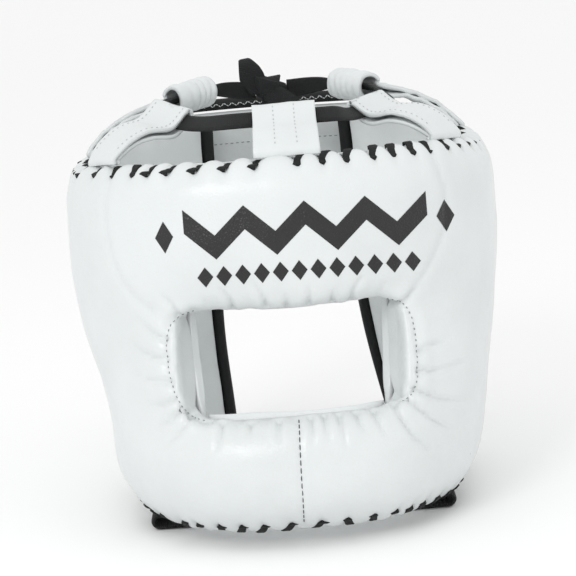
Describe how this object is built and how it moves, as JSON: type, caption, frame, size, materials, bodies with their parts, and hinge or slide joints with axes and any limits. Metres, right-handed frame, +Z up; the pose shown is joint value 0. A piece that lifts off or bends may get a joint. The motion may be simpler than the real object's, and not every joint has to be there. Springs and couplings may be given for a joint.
{
  "type": "boxing headgear",
  "caption": "Padded leather boxing headgear with an eye window, a face bar, laced rims, a tied crown lace and a chin strap.",
  "frame": {"origin": "middle of the footprint, on the surface that the headgear stands on", "axes": "-Y the way the face looks, +X to the right seen from the front, +Z up towards the crown"},
  "size_m": [0.2404, 0.277, 0.242],
  "materials": {
    "white_leather": "satin",
    "lining_leather": "matte",
    "black_binding": "matte",
    "black_lace": "matte",
    "black_webbing": "matte"
  },
  "bodies": {
    "root": {"outer_shell": "white_leather", "forehead_lining": "lining_leather", "left_lining": "lining_leather", "right_lining": "lining_leather", "bar_lining": "lining_leather", "left_wing_binding": "black_binding", "right_wing_binding": "black_binding", "rear_panel": "white_leather", "rear_panel_binding": "black_binding", "front_tab": "white_leather", "left_front_tab": "white_leather", "right_front_tab": "white_leather", "left_back_tab": "white_leather", "right_back_tab": "white_leather", "crown_lace": "black_lace", "bow_knot": "black_lace", "bow_loop": "black_lace", "bow_tail": "black_lace", "left_strap_root": "black_webbing", "right_strap_root": "black_webbing", "chin_strap": "white_leather"}
  },
  "joints": []
}
